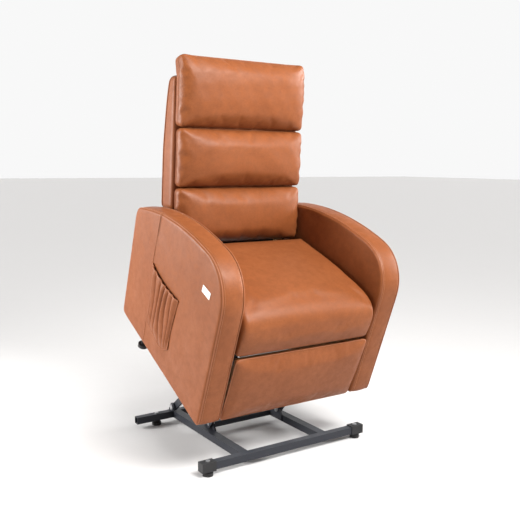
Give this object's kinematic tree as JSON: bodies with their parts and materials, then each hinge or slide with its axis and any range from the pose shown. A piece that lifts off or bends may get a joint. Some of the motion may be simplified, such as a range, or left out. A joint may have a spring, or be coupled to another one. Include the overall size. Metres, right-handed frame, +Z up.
{
  "type": "lift recliner chair",
  "caption": "Upholstered recliner armchair on a steel floor frame whose linkage raises and tips the seat forward, with a folding footrest, reclining back and side pocket.",
  "frame": {"origin": "on the floor, on the centre line, below the middle of the raised chair's depth", "axes": "+Z up, the sitter faces -Y, +X is the sitter's left; stored with the lift fully raised"},
  "size_m": [0.712, 0.7152, 1.3428],
  "materials": {
    "leather": "satin",
    "frame_steel": "satin",
    "mechanism_steel": "satin",
    "zinc_steel": "satin",
    "rod_steel": "polished",
    "black_plastic": "matte",
    "motor_plastic": "matte",
    "foot_rubber": "matte",
    "wood": "matte",
    "lining": "matte",
    "label_white": "matte"
  },
  "bodies": {
    "base": {"base_front_tube": "frame_steel", "base_rear_tube": "frame_steel", "base_rail_left": "frame_steel", "base_rail_right": "frame_steel", "base_tube_sleeves": "black_plastic", "floor_feet": "foot_rubber", "base_bolts": "zinc_steel", "lift_base_brackets": "mechanism_steel", "rear_base_brackets": "mechanism_steel", "base_pivot_pins": "zinc_steel", "actuator_base_bar": "frame_steel"},
    "lift_arms": {"lift_arm_left": "mechanism_steel", "lift_arm_right": "mechanism_steel", "lift_torque_tube": "frame_steel"},
    "rear_links": {"rear_link_left": "mechanism_steel", "rear_link_right": "mechanism_steel", "rear_link_tube": "frame_steel"},
    "lift_actuator": {"lift_actuator_case": "motor_plastic"},
    "lift_actuator_rod": {"lift_actuator_rod": "rod_steel"},
    "recline_actuator": {"recline_actuator_case": "motor_plastic"},
    "recline_actuator_rod": {"recline_actuator_rod": "rod_steel"},
    "footrest_arms": {"footrest_drive_arms": "mechanism_steel", "footrest_drive_tube": "frame_steel"},
    "footrest_uppers": {"footrest_upper_links": "mechanism_steel"},
    "footrest_guides": {"footrest_guide_links": "mechanism_steel"},
    "footrest_outers": {"footrest_outer_links": "mechanism_steel"},
    "footrest": {"footrest_brackets": "mechanism_steel", "footrest_board": "wood", "footrest_pad": "leather"},
    "back": {"back_frame": "wood", "back_brackets": "mechanism_steel", "back_shell": "leather", "back_lining": "lining", "lumbar_pillow": "leather", "middle_pillow": "leather", "head_pillow": "leather"},
    "seat_unit": {"side_plate_left": "mechanism_steel", "side_plate_right": "mechanism_steel", "seat_cross_tubes": "frame_steel", "seat_pivot_pins": "zinc_steel", "footrest_plates": "mechanism_steel", "back_hinge_plates": "mechanism_steel", "actuator_lugs": "mechanism_steel", "seat_frame": "wood", "seat_springs": "zinc_steel", "seat_cushion": "leather", "arm_outer_panel_left": "leather", "arm_outer_panel_right": "leather", "arm_inner_panel_left": "leather", "arm_inner_panel_right": "leather", "arm_band_left": "leather", "arm_band_right": "leather", "arm_frame_left": "wood", "arm_frame_right": "wood", "arm_glides": "black_plastic", "arm_bolts": "zinc_steel", "side_pocket": "leather", "side_label": "label_white", "rear_lower_cover": "lining", "control_box": "motor_plastic"}
  },
  "joints": [
    {"name": "lift", "type": "hinge", "parent": "base", "child": "lift_arms", "pos_m": [0, 0.0635, 0.06], "axis": [1, 0, 0], "range_deg": [0, 50.2]},
    {"name": "seat_tilt", "type": "hinge", "parent": "lift_arms", "child": "seat_unit", "pos_m": [0, -0.0842, 0.23727], "axis": [1, 0, 0], "range_deg": [-75.51, 0]},
    {"name": "rear_link_swing", "type": "hinge", "parent": "base", "child": "rear_links", "pos_m": [0, 0.2935, 0.06], "axis": [1, 0, 0], "range_deg": [0, 37.17]},
    {"name": "lift_actuator_swing", "type": "hinge", "parent": "base", "child": "lift_actuator", "pos_m": [0, 0.0805, 0.069], "axis": [1, 0, 0], "range_deg": [0, 40.89]},
    {"name": "lift_actuator_stroke", "type": "slide", "parent": "lift_actuator", "child": "lift_actuator_rod", "axis": [0, -0.5491, 0.8358], "range_m": [-0.07441, 0]},
    {"name": "footrest_swing", "type": "hinge", "parent": "seat_unit", "child": "footrest_arms", "pos_m": [0, -0.19967, 0.37625], "axis": [1, 0, 0], "range_deg": [-85, 0]},
    {"name": "footrest_upper_swing", "type": "hinge", "parent": "footrest_arms", "child": "footrest_uppers", "pos_m": [0, -0.14247, 0.23185], "axis": [1, 0, 0], "range_deg": [0, 145.01]},
    {"name": "footrest_guide_swing", "type": "hinge", "parent": "seat_unit", "child": "footrest_guides", "pos_m": [0, -0.16063, 0.42236], "axis": [1, 0, 0], "range_deg": [-74.06, 0]},
    {"name": "footrest_outer_swing", "type": "hinge", "parent": "footrest_arms", "child": "footrest_outers", "pos_m": [0, -0.15391, 0.26073], "axis": [1, 0, 0], "range_deg": [0, 144.12]},
    {"name": "footrest_panel_tilt", "type": "hinge", "parent": "footrest_uppers", "child": "footrest", "pos_m": [0, -0.22458, 0.34236], "axis": [1, 0, 0], "range_deg": [-148.01, 0]},
    {"name": "back_recline", "type": "hinge", "parent": "seat_unit", "child": "back", "pos_m": [0, 0.18177, 0.63399], "axis": [1, 0, 0], "range_deg": [-36.01, 0]},
    {"name": "recline_actuator_swing", "type": "hinge", "parent": "seat_unit", "child": "recline_actuator", "pos_m": [0, 0.15629, 0.47262], "axis": [1, 0, 0], "range_deg": [-3.41, 0]},
    {"name": "recline_actuator_stroke", "type": "slide", "parent": "recline_actuator", "child": "recline_actuator_rod", "axis": [0, -0.9098, -0.415], "range_m": [0, 0.08797]}
  ],
  "couplings": [
    {"joint": "seat_tilt", "follows": "lift", "ratio": -1.504},
    {"joint": "rear_link_swing", "follows": "lift", "ratio": 0.74031},
    {"joint": "lift_actuator_swing", "follows": "lift", "ratio": 0.81426},
    {"joint": "lift_actuator_stroke", "follows": "lift", "m_per_rad": -0.084814},
    {"joint": "footrest_upper_swing", "follows": "footrest_swing", "ratio": -1.7059},
    {"joint": "footrest_guide_swing", "follows": "footrest_swing", "ratio": 0.87115},
    {"joint": "footrest_outer_swing", "follows": "footrest_swing", "ratio": -1.6954},
    {"joint": "footrest_panel_tilt", "follows": "footrest_swing", "ratio": 1.7412},
    {"joint": "back_recline", "follows": "footrest_swing", "ratio": 0.42353},
    {"joint": "recline_actuator_swing", "follows": "footrest_swing", "ratio": 0.039986},
    {"joint": "recline_actuator_stroke", "follows": "footrest_swing", "m_per_rad": -0.059233}
  ]
}
